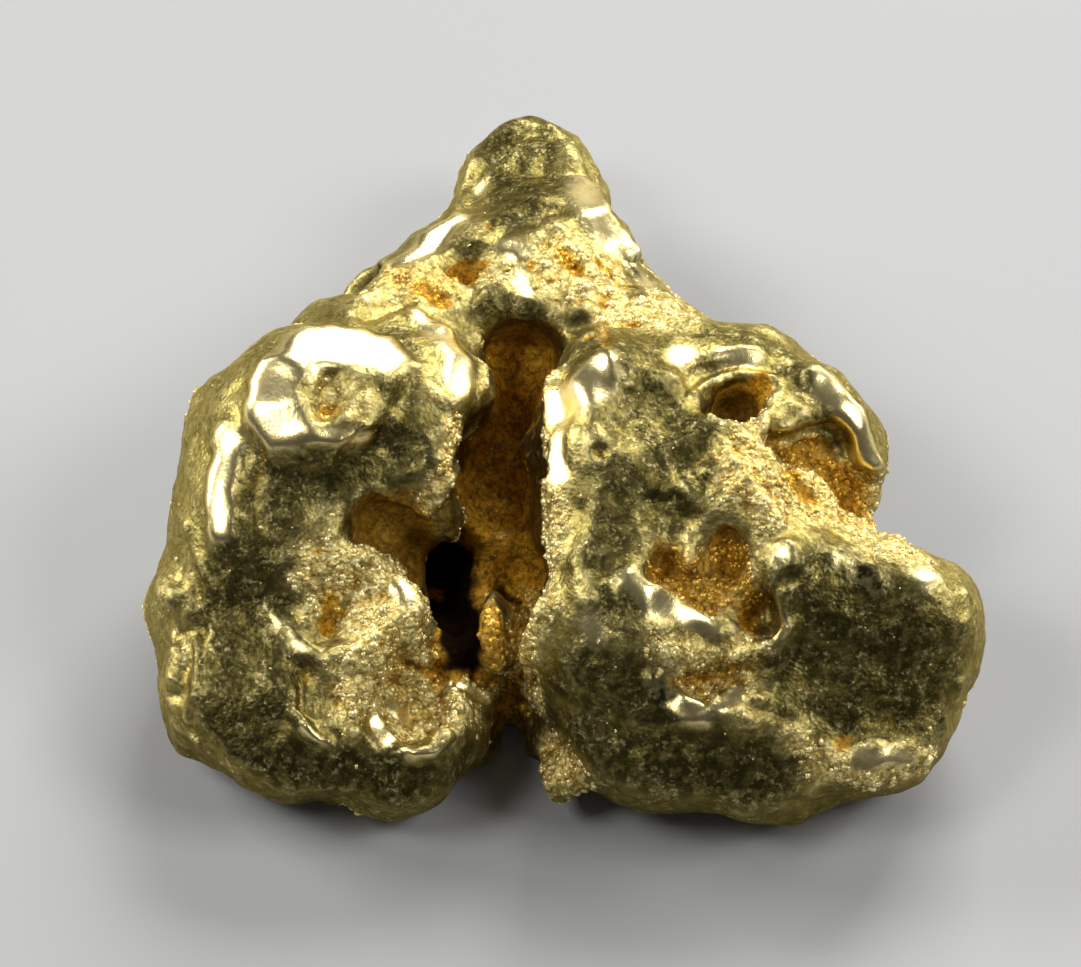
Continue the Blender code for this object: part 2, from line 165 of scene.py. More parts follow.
MARKS = {
    # the horn
    "horn_right_ridge": Mark("ridge", [(566, 150), (582, 182), (603, 220), (628, 256)], 0.24, 0.12),
    "horn_right_side": Mark("hollow", [(545, 165), (562, 200), (583, 238)], 0.26, 0.07),
    "horn_left_ridge": Mark("ridge", [(478, 152), (464, 190), (454, 216)], 0.14, 0.06),
    "horn_groove": Mark("hollow", [(480, 175), (472, 208)], 0.16, 0.06),
    "horn_tip_rim": Mark("ridge", [(548, 124), (560, 136), (572, 152)], 0.09, 0.05, 0.3, 0.1),
    "horn_face": Mark("field", [(525, 150), (520, 195)], 0.80, 0, 0.15, 0.0),
    # the saddle between the horn and the cleft
    "saddle_sand": Mark("field", [(555, 265), (610, 285), (660, 318)], 0.55, 0, 0.9, 0.15),
    "saddle_sand_middle": Mark("field", [(500, 270), (545, 290)], 0.40, 0, 0.6, 0.1),
    "saddle_sand_left": Mark("field", [(400, 275), (440, 285)], 0.34, 0, 0.8, 0.6),
    "saddle_hole": Mark("pit", [(493, 223)], 0.10, 0.16, 0.3, 0.95),
    "saddle_hollow": Mark("hollow", [(462, 279), (474, 276)], 0.24, 0.14, 0.2, 1.15),
    "saddle_pocket_left": Mark("hollow", [(424, 288), (444, 300)], 0.12, 0.07, 0.5, 1.0),
    "saddle_pocket": Mark("pit", [(534, 262)], 0.10, 0.07, 0.4, 0.95),
    "saddle_pocket_right": Mark("hollow", [(600, 262), (612, 275)], 0.10, 0.06, 0.4, 0.85),
    "saddle_pocket_far": Mark("pit", [(655, 300)], 0.10, 0.06, 0.4, 0.8),
    "saddle_lump": Mark("ridge", [(560, 290), (585, 288)], 0.15, 0.07, 0.9, 0.1),
    "saddle_lump_right": Mark("ridge", [(630, 290), (640, 306)], 0.15, 0.07, 0.9, 0.1),
    "saddle_ring": Mark("pit", [(552, 235)], 0.17, 0.10, 0.2, 0.1),
    "saddle_valley": Mark("hollow", [(566, 255), (578, 272)], 0.14, 0.10, 0.6, 0.85),
    "saddle_hole_right": Mark("pit", [(630, 326)], 0.20, 0.10, 0.7, 0.85),
    "saddle_hole_low": Mark("pit", [(590, 336)], 0.11, 0.12, 0.5, 0.95),
    "saddle_crease": Mark("hollow", [(607, 298), (604, 345)], 0.10, 0.06, 0.7, 0.75),
    "saddle_bump": Mark("ridge", [(490, 298), (530, 308)], 0.24, 0.12, 0.1, 0.0),
    "saddle_bump_right": Mark("ridge", [(582, 314)], 0.20, 0.08, 0.1, 0.0),
    # the left lobe
    "back_ridge": Mark("ridge", [(362, 298), (395, 275), (440, 262)], 0.16, 0.09, 0.4, 0.2),
    "under_back_ridge": Mark("hollow", [(365, 315), (410, 300)], 0.18, 0.09, 0.1, 0.1),
    "dome_crown": Mark("ridge", [(275, 395), (290, 360), (330, 335), (375, 345), (392, 372)], 0.40, 0.09),
    "dome_dent": Mark("hollow", [(330, 380), (352, 395)], 0.30, 0.05, 0.35, 0.05),
    "dome_pit": Mark("field", [(332, 410)], 0.16, 0, 0.5, 0.75),
    "dome_pit_rim": Mark("ridge", [(312, 434), (340, 438), (366, 424)], 0.12, 0.07),
    "dome_shoulder": Mark("ridge", [(262, 380), (258, 415), (280, 432)], 0.30, 0.08),
    "inner_shoulder": Mark("ridge", [(446, 335), (458, 370), (450, 400)], 0.26, 0.10, 0.35, 0.05),
    "inner_shoulder_top": Mark("ridge", [(418, 315), (432, 326)], 0.15, 0.06, 0.3, 0.1),
    "inner_dip": Mark("hollow", [(405, 350), (405, 400)], 0.26, 0.08),
    "dark_slope": Mark("hollow", [(300, 490), (350, 470), (400, 440)], 0.42, 0.10, 0.10, 0.0),
    "slope_specks": Mark("field", [(300, 460), (340, 500), (400, 450)], 0.40, 0, 0.45, 0.1),
    "flank_strip": Mark("ridge", [(226, 440), (222, 485), (220, 530)], 0.30, 0.13),
    "flank_grooves": Mark("hollow", [(262, 440), (254, 490), (258, 530)], 0.13, 0.07, 0.6, 0.35),
    "flank_line": Mark("ridge", [(186, 520), (200, 560), (212, 590)], 0.07, 0.05),
    "knob": Mark("ridge", [(170, 592)], 0.34, 0.12, 0.4, 0.05),
    "knob_crease": Mark("hollow", [(198, 570), (196, 610), (200, 640)], 0.12, 0.08, 0.5, 0.3),
    "heel_fold": Mark("ridge", [(176, 650), (170, 690), (180, 728)], 0.10, 0.08, 0.2, 0.0),
    "heel_fold_inner": Mark("ridge", [(196, 638), (198, 680), (186, 718)], 0.09, 0.06, 0.2, 0.0),
    "heel_crease": Mark("hollow", [(188, 650), (184, 700)], 0.10, 0.06, 0.4, 0.2),
    # the hollows of the left lobe
    "rough_mound": Mark("ridge", [(285, 570), (310, 600)], 0.34, 0.08, 1.0, 0.10),
    "rough_mound_top": Mark("ridge", [(365, 560), (395, 575), (412, 600)], 0.28, 0.10, 1.0, 0.15),
    "passage_stain": Mark("field", [(372, 512), (400, 525), (425, 560)], 0.40, 0, 0.3, 1.10),
    "passage_edge": Mark("ridge", [(378, 488), (402, 500), (424, 512)], 0.08, 0.07, 0.3, 0.6),
    "slot": Mark("field", [(331, 598), (327, 628)], 0.13, 0, 0.3, 1.0),
    "slot_ridge": Mark("ridge", [(268, 612), (288, 630), (304, 650)], 0.14, 0.12, 0.1, 0.0),
    "slot_ridge_low": Mark("ridge", [(312, 652), (326, 662), (342, 650)], 0.12, 0.08, 0.3, 0.0),
    "hollow_rim": Mark("ridge", [(394, 582), (412, 600), (418, 624)], 0.12, 0.09, 0.2, 0.1),
    "hollow_sand": Mark("field", [(290, 575), (370, 590), (395, 630)], 0.55, 0, 1.0, 0.10),
    "cup_sand": Mark("field", [(370, 680), (410, 690), (455, 670), (430, 720)], 0.55, 0, 1.0, 0.12),
    "cup_deep": Mark("hollow", [(390, 640), (400, 660)], 0.24, 0.12, 0.7, 0.5),
    "cup_lump": Mark("ridge", [(425, 690), (432, 700)], 0.20, 0.10, 0.9, 0.15),
    "cup_lump_left": Mark("ridge", [(385, 690), (402, 712)], 0.13, 0.09, 1.0, 0.1),
    "cup_lump_low": Mark("ridge", [(425, 728)], 0.14, 0.08, 0.9, 0.1),
    "cup_lump_right": Mark("ridge", [(458, 712), (446, 690)], 0.14, 0.09, 0.7, 0.05),
    "cup_gap": Mark("hollow", [(405, 665), (430, 672), (448, 700)], 0.10, 0.10, 0.3, 0.7),
    "cup_rim": Mark(
        "ridge", [(366, 686), (374, 716), (390, 742), (415, 756), (436, 752), (446, 738)],
        0.11, 0.12,
    ),
    "cup_left_rim": Mark("ridge", [(294, 716), (312, 736), (334, 752)], 0.12, 0.11),
    "cup_left_furrow": Mark("hollow", [(306, 672), (304, 712)], 0.12, 0.12, 0.3, 0.4),
    "cup_wall": Mark("ridge", [(350, 690), (356, 730)], 0.14, 0.08, 0.8, 0.15),
    "cup_bump": Mark("ridge", [(452, 680), (470, 690), (484, 698)], 0.11, 0.11, 0.2, 0.05),
    "cup_back_lumps": Mark("ridge", [(440, 650), (460, 665)], 0.22, 0.10, 0.8, 0.1),
    # the cleft
    "cleft_stain": Mark("field", [(520, 350), (512, 420), (500, 500)], 0.66, 0, 0.30, 1.0),
    "cleft_belly_stain": Mark("field", [(465, 500), (475, 560), (520, 560)], 0.42, 0, 0.2, 1.0),
    # a stain above 1.2 paints the hole and the gaps beside the pillar black, as painted shade
    "hole_painted_shade": Mark("field", [(440, 553), (458, 572), (452, 610), (460, 645)], 0.44, 0, 0.2, 2.0),
    "gap_painted_shade": Mark("field", [(503, 588), (518, 601)], 0.11, 0, 0.1, 1.8),
    "pillar_sand": Mark("field", [(494, 605), (492, 660)], 0.22, 0, 1.0, 0.80),
    "bridge_painted_shade": Mark("field", [(490, 680)], 0.12, 0, 0.2, 1.6),
    "cleft_low_stain": Mark("field", [(506, 695), (508, 715)], 0.36, 0, 0.4, 0.95),
    "left_lip": Mark(
        "ridge", [(478, 340), (486, 385), (468, 430), (448, 480), (432, 508)],
        0.09, 0.09, 0.5, 0.35,
    ),
    "right_lip": Mark("ridge", [(560, 372), (548, 410), (552, 470), (556, 540)], 0.15, 0.05, 0.8, 0.25),
    "right_lip_sand": Mark("field", [(554, 380), (556, 500), (540, 620), (540, 700)], 0.26, 0, 1.0, 0.30),
    "low_lip_lumps": Mark("ridge", [(550, 606), (540, 630), (530, 662)], 0.20, 0.12, 1.0, 0.45),
    "low_lip_sand": Mark("field", [(525, 605), (530, 650), (522, 690)], 0.26, 0, 1.0, 0.60),
    "left_lip_sand": Mark("field", [(456, 428), (441, 470), (428, 506)], 0.16, 0, 1.0, 0.50),
    "tip_sand": Mark("field", [(548, 762), (560, 780)], 0.42, 0, 1.0, 0.45),
    # the right lobe
    "column_light": Mark("ridge", [(580, 392), (606, 362)], 0.30, 0.09, 0.2, 0.0),
    "column_pit": Mark("pit", [(600, 452)], 0.12, 0.08, 0.4, 0.4),
    "column_sand": Mark("field", [(600, 440), (640, 470), (620, 540)], 0.45, 0, 0.15, 0.05),
    "column_dip": Mark("hollow", [(622, 430), (660, 400)], 0.28, 0.08, 0.3, 0.1),
    "column_dip_low": Mark("hollow", [(650, 500), (690, 520)], 0.24, 0.08, 0.5, 0.2),
    "column_crease": Mark("hollow", [(590, 560), (604, 610), (590, 650)], 0.16, 0.08, 0.4, 0.1),
    "upper_pit": Mark("field", [(722, 408), (750, 400)], 0.30, 0, 0.2, 1.35),
    "upper_pit_fold": Mark("ridge", [(688, 402), (708, 384), (738, 374), (772, 382)], 0.11, 0.12, 0.1, 0.0),
    "upper_pit_back": Mark("hollow", [(696, 374), (735, 362)], 0.12, 0.07),
    "upper_crown": Mark("ridge", [(722, 350), (758, 355)], 0.20, 0.07),
    "upper_rim": Mark("ridge", [(812, 372), (842, 400), (862, 438), (872, 468)], 0.22, 0.11),
    "upper_rim_inner": Mark("hollow", [(796, 388), (822, 412), (846, 450)], 0.18, 0.08, 0.1, 0.05),
    "upper_saddle": Mark("ridge", [(774, 400), (764, 425)], 0.16, 0.07, 0.4, 0.1),
    "curl": Mark(
        "ridge", [(776, 446), (790, 434), (812, 430), (832, 440), (842, 462)],
        0.07, 0.09, 0.5, 0.60,
    ),
    "curl_stain": Mark("field", [(800, 456), (830, 480), (850, 510)], 0.34, 0, 0.9, 0.80),
    "right_bank": Mark("ridge", [(716, 440), (736, 470), (756, 496), (766, 525)], 0.14, 0.10, 0.8, 0.1),
    "right_sand": Mark("field", [(735, 460), (790, 480), (840, 500), (865, 530)], 0.58, 0, 1.0, 0.50),
    "right_sand_gap": Mark("hollow", [(786, 468), (812, 500)], 0.13, 0.08, 0.5, 0.95),
    "right_sand_lump": Mark("ridge", [(762, 500), (775, 520)], 0.17, 0.08, 1.0, 0.2),
    "right_sand_pocket": Mark("pit", [(842, 520)], 0.12, 0.07, 0.5, 0.9),
    "waist_sand": Mark("field", [(880, 545), (905, 560)], 0.40, 0, 0.9, 0.35),
    "middle_stain": Mark("field", [(660, 570), (700, 585), (735, 570)], 0.50, 0, 0.9, 0.75),
    "middle_pits": Mark("field", [(662, 560), (672, 580)], 0.24, 0, 0.6, 0.75),
    "middle_pits_right": Mark("field", [(726, 540), (735, 565)], 0.24, 0, 0.6, 0.85),
    "middle_boss": Mark("ridge", [(690, 545), (694, 562)], 0.16, 0.10, 0.3, 0.0),
    "middle_rim": Mark("ridge", [(632, 580), (648, 592), (668, 602), (695, 614), (715, 626)], 0.13, 0.13),
    "middle_rim_right": Mark("ridge", [(726, 590), (722, 618), (740, 648)], 0.10, 0.08, 0.6, 0.2),
    "bright_knob": Mark("ridge", [(787, 548)], 0.17, 0.10),
    "lower_pit": Mark("field", [(752, 600), (748, 625)], 0.20, 0, 0.4, 0.9),
    "lower_pit_rim": Mark("ridge", [(740, 655), (768, 648), (794, 620), (790, 588)], 0.11, 0.10, 0.4, 0.1),
    "bulb_ridge": Mark("ridge", [(820, 548), (850, 562), (872, 578)], 0.16, 0.07),
    "bulb_knob": Mark("ridge", [(924, 576)], 0.26, 0.08),
    "bulb_seam": Mark("hollow", [(800, 660), (830, 664), (860, 652)], 0.12, 0.06, 0.1, 0.3),
    "bulb_rim": Mark("ridge", [(960, 590), (966, 640), (956, 700)], 0.14, 0.06),
    "bulb_dip": Mark("hollow", [(935, 610), (942, 660)], 0.20, 0.06, 0.1, 0.0),
    "valley_deep": Mark("hollow", [(690, 678), (730, 676), (765, 668)], 0.20, 0.12, 0.7, 0.45),
    "valley_rim": Mark(
        "ridge", [(655, 676), (676, 694), (704, 720), (720, 706), (738, 694), (762, 700)],
        0.12, 0.13, 0.2, 0.05,
    ),
    "valley_sand": Mark("field", [(670, 665), (720, 680), (755, 665)], 0.40, 0, 1.0, 0.35),
    "low_lumps": Mark("ridge", [(735, 712), (752, 724)], 0.20, 0.08, 0.6, 0.05),
    "brown_valley": Mark("field", [(845, 712), (885, 715), (920, 708)], 0.28, 0, 0.1, 0.50),
    "brown_valley_bank": Mark(
        "field", [(785, 672), (830, 690), (890, 690), (930, 690)],
        0.46, 0, 0.1, 0.35,
    ),
    "bank_pocket": Mark("field", [(843, 742)], 0.18, 0, 0.8, 0.75),
    "low_bank": Mark("ridge", [(835, 762), (880, 752), (922, 756)], 0.22, 0.09, 0.6, 0.05),
    "low_sand": Mark("field", [(790, 752), (860, 765), (925, 752)], 0.36, 0, 0.9, 0.20),
    "front_scar": Mark("hollow", [(600, 730), (650, 745), (700, 735)], 0.22, 0.09, 0.4, 0.1),
    # the worn faces that stay dark, painted darker too as painted shade
    "low_left_shade": Mark("shade", [(240, 620), (245, 690)], 0.75, 0.20),
    "horn_shade": Mark("shade", [(522, 135), (525, 200)], 0.50, 0.10),
    "saddle_shade": Mark("shade", [(490, 298), (530, 308)], 0.22, 0.08),
    "saddle_shade_right": Mark("shade", [(582, 315)], 0.16, 0.08),
    "saddle_shade_left": Mark("shade", [(472, 248)], 0.22, 0.08),
    "saddle_strip_shade": Mark("shade", [(632, 265), (640, 292)], 0.12, 0.08),
    "slope_shade": Mark("shade", [(335, 478), (395, 452)], 0.26, 0.08),
    "bulb_shade": Mark("shade", [(850, 600), (900, 640)], 0.70, 0.15),
    "brown_valley_shade": Mark("shade", [(800, 672), (860, 700), (930, 700)], 0.50, 0.10),
    "mottled_shade": Mark("shade", [(640, 360), (655, 395), (700, 430), (700, 470)], 0.30, 0.10),
    "front_shade": Mark("shade", [(600, 740), (680, 770), (760, 780)], 0.50, 0.10),
    "left_front_shade": Mark("shade", [(230, 720), (300, 770), (400, 785)], 0.45, 0.10),
    "flank_shade": Mark("shade", [(280, 500), (270, 540)], 0.25, 0.10),
    "column_shade": Mark("shade", [(620, 500), (600, 550)], 0.30, 0.10),
    "shoulder_shade": Mark("shade", [(650, 400), (680, 440)], 0.50, 0.12),
    "crest_shade": Mark("shade", [(790, 365), (800, 385)], 0.20, 0.08),
    "foot_shade": Mark("shade", [(600, 680), (640, 700)], 0.50, 0.15),
    # the parts that are dull and rougher, and painted dark as painted shade, but not worn flat
    "horn_dull_and_shade": Mark("dull_and_shade", [(520, 122), (522, 160)], 0.50, 0),
    "shoulder_dull_and_shade": Mark("dull_and_shade", [(628, 350), (645, 400), (655, 450), (640, 500)], 0.62, 0),
    "shoulder_low_dull_and_shade": Mark("dull_and_shade", [(640, 435), (662, 470), (670, 505)], 0.42, 0),
    "column_dull_and_shade": Mark("dull_and_shade", [(605, 500), (615, 560), (625, 600)], 0.34, 0),
    "foot_dull_and_shade": Mark("dull_and_shade", [(575, 680), (620, 700), (680, 735), (760, 765)], 0.40, 0),
    "crest_dull_and_shade": Mark("dull_and_shade", [(705, 332), (755, 336), (800, 362)], 0.18, 0),
    "rim_dull_and_shade": Mark("dull_and_shade", [(800, 385), (822, 408), (840, 440)], 0.16, 0),
    "bulb_dull_and_shade": Mark("dull_and_shade", [(820, 580), (890, 625), (935, 650)], 0.62, 0),
    "brown_valley_dull_and_shade": Mark("dull_and_shade", [(840, 705), (890, 712), (925, 705)], 0.26, 0),
    "dome_dull_and_shade": Mark("dull_and_shade", [(392, 330), (402, 365), (395, 405)], 0.24, 0),
    "slope_dull_and_shade": Mark("dull_and_shade", [(285, 485), (345, 470), (410, 442)], 0.42, 0),
    "passage_dull_and_shade": Mark("dull_and_shade", [(365, 512), (400, 528), (425, 565)], 0.36, 0),
    "upper_pit_dull_and_shade": Mark("dull_and_shade", [(735, 405)], 0.30, 0),
    "flank_dull_and_shade": Mark("dull_and_shade", [(262, 520), (240, 600), (240, 680), (280, 740)], 0.55, 0),
    "toe_dull_and_shade": Mark("dull_and_shade", [(330, 770), (400, 780), (460, 765)], 0.36, 0),
    # the worn faces that shine, painted paler too as painted highlight
    "dome_top_shine": Mark("shine", [(300, 350), (335, 336), (385, 348)], 0.34, 0.10),
    "dome_left_shine": Mark("shine", [(278, 372), (262, 405), (284, 428)], 0.28, 0.10),
    "dome_low_shine": Mark("shine", [(316, 433), (368, 436)], 0.12, 0.08),
    "strip_shine": Mark("shine", [(228, 440), (222, 480), (218, 528)], 0.17, 0.12),
    "inner_shine": Mark("shine", [(450, 332), (462, 352), (464, 384)], 0.20, 0.12),
    "bead_shine": Mark("shine", [(420, 315), (438, 336)], 0.09, 0.06),
    "facet_shine": Mark("shine", [(408, 264), (430, 246), (456, 220)], 0.17, 0.14),
    "horn_shine": Mark("shine", [(578, 182), (592, 212), (610, 236), (630, 250)], 0.17, 0.14),
    "horn_left_shine": Mark("shine", [(482, 187)], 0.12, 0.08),
    "saddle_shine": Mark("shine", [(508, 242), (524, 252)], 0.12, 0.10),
    "saddle_shine_low": Mark("shine", [(519, 272), (529, 292)], 0.09, 0.08),
    "horn_low_shine": Mark("shine", [(630, 262), (646, 282)], 0.10, 0.08),
    "column_shine": Mark("shine", [(560, 402), (576, 386), (600, 370)], 0.32, 0.14),
    "column_low_shine": Mark("shine", [(592, 618), (598, 640)], 0.12, 0.08),
    "column_side_shine": Mark("shine", [(556, 440), (560, 470)], 0.14, 0.08),
    "shoulder_shine": Mark("shine", [(683, 354)], 0.16, 0.08),
    "crest_shine": Mark("shine", [(724, 353), (754, 355)], 0.11, 0.08),
    "rim_shine": Mark("shine", [(826, 382), (846, 400), (862, 428), (872, 458)], 0.20, 0.12),
    "knob_shine": Mark("shine", [(787, 548)], 0.16, 0.08),
    "bulb_knob_shine": Mark("shine", [(927, 578)], 0.15, 0.08),
    "bulb_ridge_shine": Mark("shine", [(840, 562), (862, 575), (880, 580)], 0.13, 0.08),
    "middle_shine": Mark("shine", [(630, 576), (650, 594), (672, 608)], 0.16, 0.10),
    "middle_shine_low": Mark("shine", [(688, 614), (708, 624)], 0.14, 0.09),
    "pit_rim_shine": Mark("shine", [(792, 600), (778, 636)], 0.09, 0.08),
    "valley_shine": Mark("shine", [(660, 680), (680, 700), (704, 720)], 0.15, 0.10),
    "valley_shine_right": Mark("shine", [(722, 706), (740, 694)], 0.09, 0.08),
    "bank_shine": Mark("shine", [(862, 758), (886, 754), (908, 758)], 0.11, 0.08),
    "cup_shine": Mark("shine", [(374, 716), (390, 742), (412, 754), (436, 750)], 0.09, 0.10),
    "cup_lump_shine": Mark("shine", [(393, 706), (408, 716)], 0.07, 0.06),
    "cup_left_shine": Mark("shine", [(296, 720), (334, 748)], 0.09, 0.10),
    "slot_shine": Mark("shine", [(270, 616), (286, 630), (302, 648)], 0.10, 0.09),
    "bump_shine": Mark("shine", [(456, 682), (482, 698)], 0.08, 0.08),
    "mound_shine": Mark("shine", [(400, 584), (410, 598)], 0.10, 0.08),
}


def object_of(name, points, faces):
    mesh = bpy.data.meshes.new(name)
    mesh.from_pydata(points, [], faces)
    found = bpy.data.objects.new(name, mesh)
    bpy.context.scene.collection.objects.link(found)
    return found


def settled(obj):
    """The object with its modifiers made permanent."""
    bpy.context.view_layer.update()
    graph = bpy.context.evaluated_depsgraph_get()
    mesh = bpy.data.meshes.new_from_object(obj.evaluated_get(graph))
    obj.modifiers.clear()
    obj.data = mesh
    return obj


def fused(obj, grid):
    remesh = obj.modifiers.new("fuse", "REMESH")
    remesh.mode = "VOXEL"
    remesh.voxel_size = grid
    return settled(obj)


def thinned(obj, faces):
    """The object, made of quads, with about that many triangles, most of them where it curves most."""
    thin = obj.modifiers.new("thin", "DECIMATE")
    thin.ratio = min(1.0, faces / (2 * len(obj.data.polygons)))
    thin.use_collapse_triangulate = True
    return settled(obj)


def blank():
    """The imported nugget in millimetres, as an even grid of quads."""
    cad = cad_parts["nugget"]
    skin = bpy.data.objects.new("nugget_skin", cad.data.copy())
    bpy.context.scene.collection.objects.link(skin)
    skin.data.transform(Matrix.Scale(1 / METRES_PER_MM, 4))
    skin.data.materials.clear()
    fused(skin, BLANK_GRID)
    return skin


def tree_of(obj):
    """What finds the nearest point of the object, or the first one along a line."""
    return BVHTree.FromObject(obj, bpy.context.evaluated_depsgraph_get())


def add_layer(mesh, name, values):
    """Keeps one number for each point on the mesh."""
    mesh.attributes.new(name, "FLOAT", "POINT").data.foreach_set("value", values.astype(np.float32))


def layer_of(mesh, name):
    found = np.empty(len(mesh.vertices), np.float32)
    mesh.attributes[name].data.foreach_get("value", found)
    return found


class Skin:
    """The points of a mesh as arrays, with what is worked out from them."""

    def __init__(self, obj):
        self.mesh = obj.data
        count = len(self.mesh.vertices)
        self.points = np.empty(count * 3, np.float32)
        self.mesh.vertices.foreach_get("co", self.points)
        self.points = self.points.reshape(-1, 3).astype(float)
        edges = np.empty(len(self.mesh.edges) * 2, np.int32)
        self.mesh.edges.foreach_get("vertices", edges)
        self.edges = edges.reshape(-1, 2)
        self.valence = np.maximum(np.bincount(edges, minlength=count), 1)

    def normals(self):
        self.store()
        found = np.empty(len(self.points) * 3, np.float32)
        self.mesh.vertices.foreach_get("normal", found)
        return found.reshape(-1, 3).astype(float)

    def store(self):
        self.mesh.vertices.foreach_set("co", self.points.astype(np.float32).ravel())
        self.mesh.update()

    def neighbour_mean(self, values):
        a, b = self.edges.T
        total = np.bincount(a, values[b], len(values)) + np.bincount(b, values[a], len(values))
        return total / self.valence

    def smoothed(self, values, rounds, share=0.5):
        values = np.array(values, float)
        columns = [values] if values.ndim == 1 else list(values.T)
        for _ in range(rounds):
            columns = [c + share * (self.neighbour_mean(c) - c) for c in columns]
        return columns[0] if values.ndim == 1 else np.stack(columns, 1)

    def recess(self, rounds):
        """How far each point lies below the skin smoothed that many rounds, in millimetres."""
        return ((self.smoothed(self.points, rounds) - self.points) * self.normals()).sum(1)


def smoothstep(low, high, values):
    t = np.clip((values - low) / (high - low), 0, 1)
    return t * t * (3 - 2 * t)


def field_noise(points, size, shift=0.0):
    """Smooth noise at each point, about -1 to 1, with bumps about that far apart.

    The shift, here and below, takes the pattern from another place, so that no two are the same.
    """
    return np.array([noise.noise(Vector(p)) for p in points / size + shift])


def pebbles(points, size, shift=0.0):
    """Round grains about that far apart, each with its own height, from 0 to 1."""
    heights = np.empty(len(points))
    for i, point in enumerate((points + shift) / size):
        distances, centres = noise.voronoi(Vector(point))
        own_height = 0.65 + 0.35 * noise.noise(centres[0] * 5.3)
        heights[i] = max(0.0, 1 - 1.6 * distances[0] ** 2) * own_height
    return heights


def dents(points, size, shift=0.0):
    """Shallow round dents about that far apart, from 0 between them to 1 at their middles."""
    distances = np.array([noise.voronoi(Vector(p))[0][0] for p in (points + shift) / size])
    return np.clip(1 - 1.7 * distances, 0, 1) ** 2


# The fine relief, and which gold each kind of it is on. A height below zero goes into the skin.
Relief = namedtuple("Relief", "shape height apart shift gold")
RELIEF = (
    Relief(field_noise, 0.030, 0.75, 0.0, "plain"),
    Relief(field_noise, 0.024, 0.34, 7.3, "rough"),
    Relief(field_noise, 0.014, 0.17, 3.1, "rough"),
    Relief(dents, -0.045, 0.40, 0.0, "rough"),
    Relief(dents, -0.008, 0.17, 5.0, "plain"),
    Relief(pebbles, 0.050, 0.21, 0.0, "sandy"),
    Relief(pebbles, 0.025, 0.12, 3.0, "sandy"),
)


def sight_line(pixel):
    """From where, and in which direction, the camera looks at a pixel of the frame."""
    across = (pixel[0] - FRAME_WIDTH / 2) * MM_PER_PIXEL
    upward = (FRAME_HEIGHT / 2 - pixel[1]) * MM_PER_PIXEL
    return CAMERA_PLACE, (FORWARD * CAMERA_DISTANCE + RIGHT * across + UP * upward).normalized()


def seen_at(tree, name, pixel):
    """The point of the skin that the camera sees at a pixel."""
    place = tree.ray_cast(*sight_line(pixel))[0]
    if place is None:
        raise ValueError(f"{name}: nothing is seen at pixel {pixel}")
    return np.array(place)


def box_direction(box):
    a, e = radians(box.azimuth), radians(box.elevation)
    return Vector((sin(a) * cos(e), -cos(a) * cos(e), sin(e)))


def nearest_on_path(points, path):
    """The place on the path that is nearest to each point, and how far away it is."""
    nearest = np.repeat(path[0][None], len(points), 0)
    best = np.linalg.norm(points - nearest, axis=1)
    for start, end in zip(path, path[1:], strict=False):
        along = end - start
        share = np.clip((points - start) @ along / max(along @ along, NOT_ZERO), 0, 1)
        found = start + share[:, None] * along
        distance = np.linalg.norm(points - found, axis=1)
        nearest = np.where((distance < best)[:, None], found, nearest)
        best = np.minimum(distance, best)
    return nearest, best


def mirroring(facing, kind):
    """The way that a face has to look, to be a shine or a shade, turned no further than MOST_TILT."""
    if kind == "shade":
        wanted = np.array(-FORWARD)
    else:
        halves = [np.array((box_direction(box) - FORWARD).normalized()) for box in BOXES.values()]
        wanted = max(halves, key=lambda half: half @ facing)
    angle = np.arccos(np.clip(wanted @ facing, -1, 1))
    turned = facing + min(1.0, MOST_TILT / max(angle, NOT_ZERO)) * (wanted - facing)
    return turned / np.linalg.norm(turned)


def pit_depth(reach):
    """How deep a pit is at each reach: 1 on its floor, and below 0 on its raised rim."""
    wall = 1 - smoothstep(*PIT_WALL, reach)
    rim = PIT_RIM_HEIGHT * np.exp(-(((reach - PIT_RIM_REACH) / PIT_RIM_WIDTH) ** 2))
    return wall - rim


def worn_flat(points, nearest, reach, facing, mark):
    """The points, brought near to one plane that mirrors a soft box or the dark in front."""
    facing = mirroring(facing, mark.kind)
    above = ((points - nearest) * facing).sum(1)
    above -= np.median(above[reach < 1])
    share = FLATTENED[mark.kind] * (1 - smoothstep(*FLAT_EDGE, reach))
    most = mark.depth + MOST_FLATTENING * mark.width
    return points - (np.clip(above, -most, most) * share)[:, None] * facing


def note(layers, mark, near, reach):
    """Writes into the layers what the gold is like at a mark."""
    share = 1 - smoothstep(*LOOK_EDGE, reach)
    amounts = {"sand": mark.grain, "stain": mark.stain}
    if mark.kind in layers:
        amounts[mark.kind] = 1
    for name, amount in amounts.items():
        layers[name][near] = np.maximum(layers[name][near], amount * share)
    if mark.kind in layers:
        layers["sand"][near] *= 1 - SAND_WORN_OFF * share


def press(skin, mark, path, wander, layers):
    """Works one mark into the skin and the layers."""
    normals = skin.normals()
    nearest, distance = nearest_on_path(skin.points, path)
    reach = distance / mark.width * (1 + RAGGED * wander)
    near = reach < END_OF_REACH
    reach, nearest, points = reach[near], nearest[near], skin.points[near]
    bowl = (np.clip(1 - reach**2, 0, 1) ** 2)[:, None]
    facing = normals[near][reach < 1].mean(0)
    facing /= np.linalg.norm(facing)
    if mark.kind == "hollow":
        points = points - mark.depth * bowl * facing
    elif mark.kind == "pit":
        points = points - mark.depth * pit_depth(reach)[:, None] * facing
    elif mark.kind == "ridge":
        points = points + mark.depth * bowl * normals[near]
    elif mark.kind in FLATTENED:
        points = worn_flat(points, nearest, reach, facing, mark)
    skin.points[near] = points
    note(layers, mark, near, reach)


